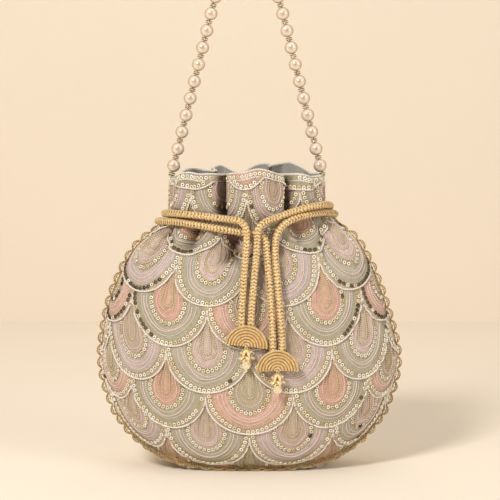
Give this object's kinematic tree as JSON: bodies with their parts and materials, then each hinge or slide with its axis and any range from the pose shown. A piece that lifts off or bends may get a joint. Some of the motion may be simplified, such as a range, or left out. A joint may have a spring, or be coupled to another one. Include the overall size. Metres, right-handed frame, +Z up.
{
  "type": "potli bag",
  "caption": "Round embroidered drawstring potli bag with fish-scale panels, scalloped lace, twin drawcords and a pearl handle.",
  "frame": {"origin": "middle of the bag's box on the surface it stands on", "axes": "+Z up, the front with the tied drawcords faces -Y, +X to the right"},
  "size_m": [0.2072, 0.1088, 0.3386],
  "materials": {
    "embroidered_cloth": "thread and sequin embroidery",
    "satin_lining": "satin",
    "gold_lace": "openwork metallic lace",
    "gold_cord": "knitted metallic thread",
    "gold_wire": "wound bullion wire",
    "cream_beads": "pearlised",
    "pearl": "pearl lacquer",
    "spacer_metal": "faceted, antique"
  },
  "bodies": {
    "bag": {"front_panel": "embroidered_cloth", "back_panel": "embroidered_cloth", "lining": "satin_lining", "seam_trim": "gold_lace", "drawcord_upper": "gold_cord", "drawcord_lower": "gold_cord", "charm_left": "gold_wire", "charm_right": "gold_wire", "handle_loop_left": "gold_cord", "handle_loop_right": "gold_cord"},
    "handle": {"handle_string": "spacer_metal", "pearl_01": "pearl", "pearl_02": "pearl", "pearl_03": "pearl", "pearl_04": "pearl", "pearl_05": "pearl", "pearl_06": "pearl", "pearl_07": "pearl", "pearl_08": "pearl", "pearl_09": "pearl", "pearl_10": "pearl", "pearl_11": "pearl", "pearl_12": "pearl", "pearl_13": "pearl", "pearl_14": "pearl", "pearl_15": "pearl", "pearl_16": "pearl", "pearl_17": "pearl", "pearl_18": "pearl", "pearl_19": "pearl", "pearl_20": "pearl", "pearl_21": "pearl", "pearl_22": "pearl", "pearl_23": "pearl", "pearl_24": "pearl", "pearl_25": "pearl", "pearl_26": "pearl"},
    "left_drop": {"bead_drop_left": "cream_beads"},
    "right_drop": {"bead_drop_right": "cream_beads"}
  },
  "joints": [
    {"name": "handle_swing", "type": "hinge", "parent": "bag", "child": "handle", "pos_m": [-0.0018, 0, 0.19755], "axis": [1, 0, 0], "range_deg": [-40, 40]},
    {"name": "left_drop_swing", "type": "hinge", "parent": "bag", "child": "left_drop", "pos_m": [-0.0022, -0.0548, 0.089], "axis": [0, 1, 0], "range_deg": [-14, 25]},
    {"name": "right_drop_swing", "type": "hinge", "parent": "bag", "child": "right_drop", "pos_m": [0.0184, -0.0548, 0.0727], "axis": [0, 1, 0], "range_deg": [-25, 25]}
  ]
}
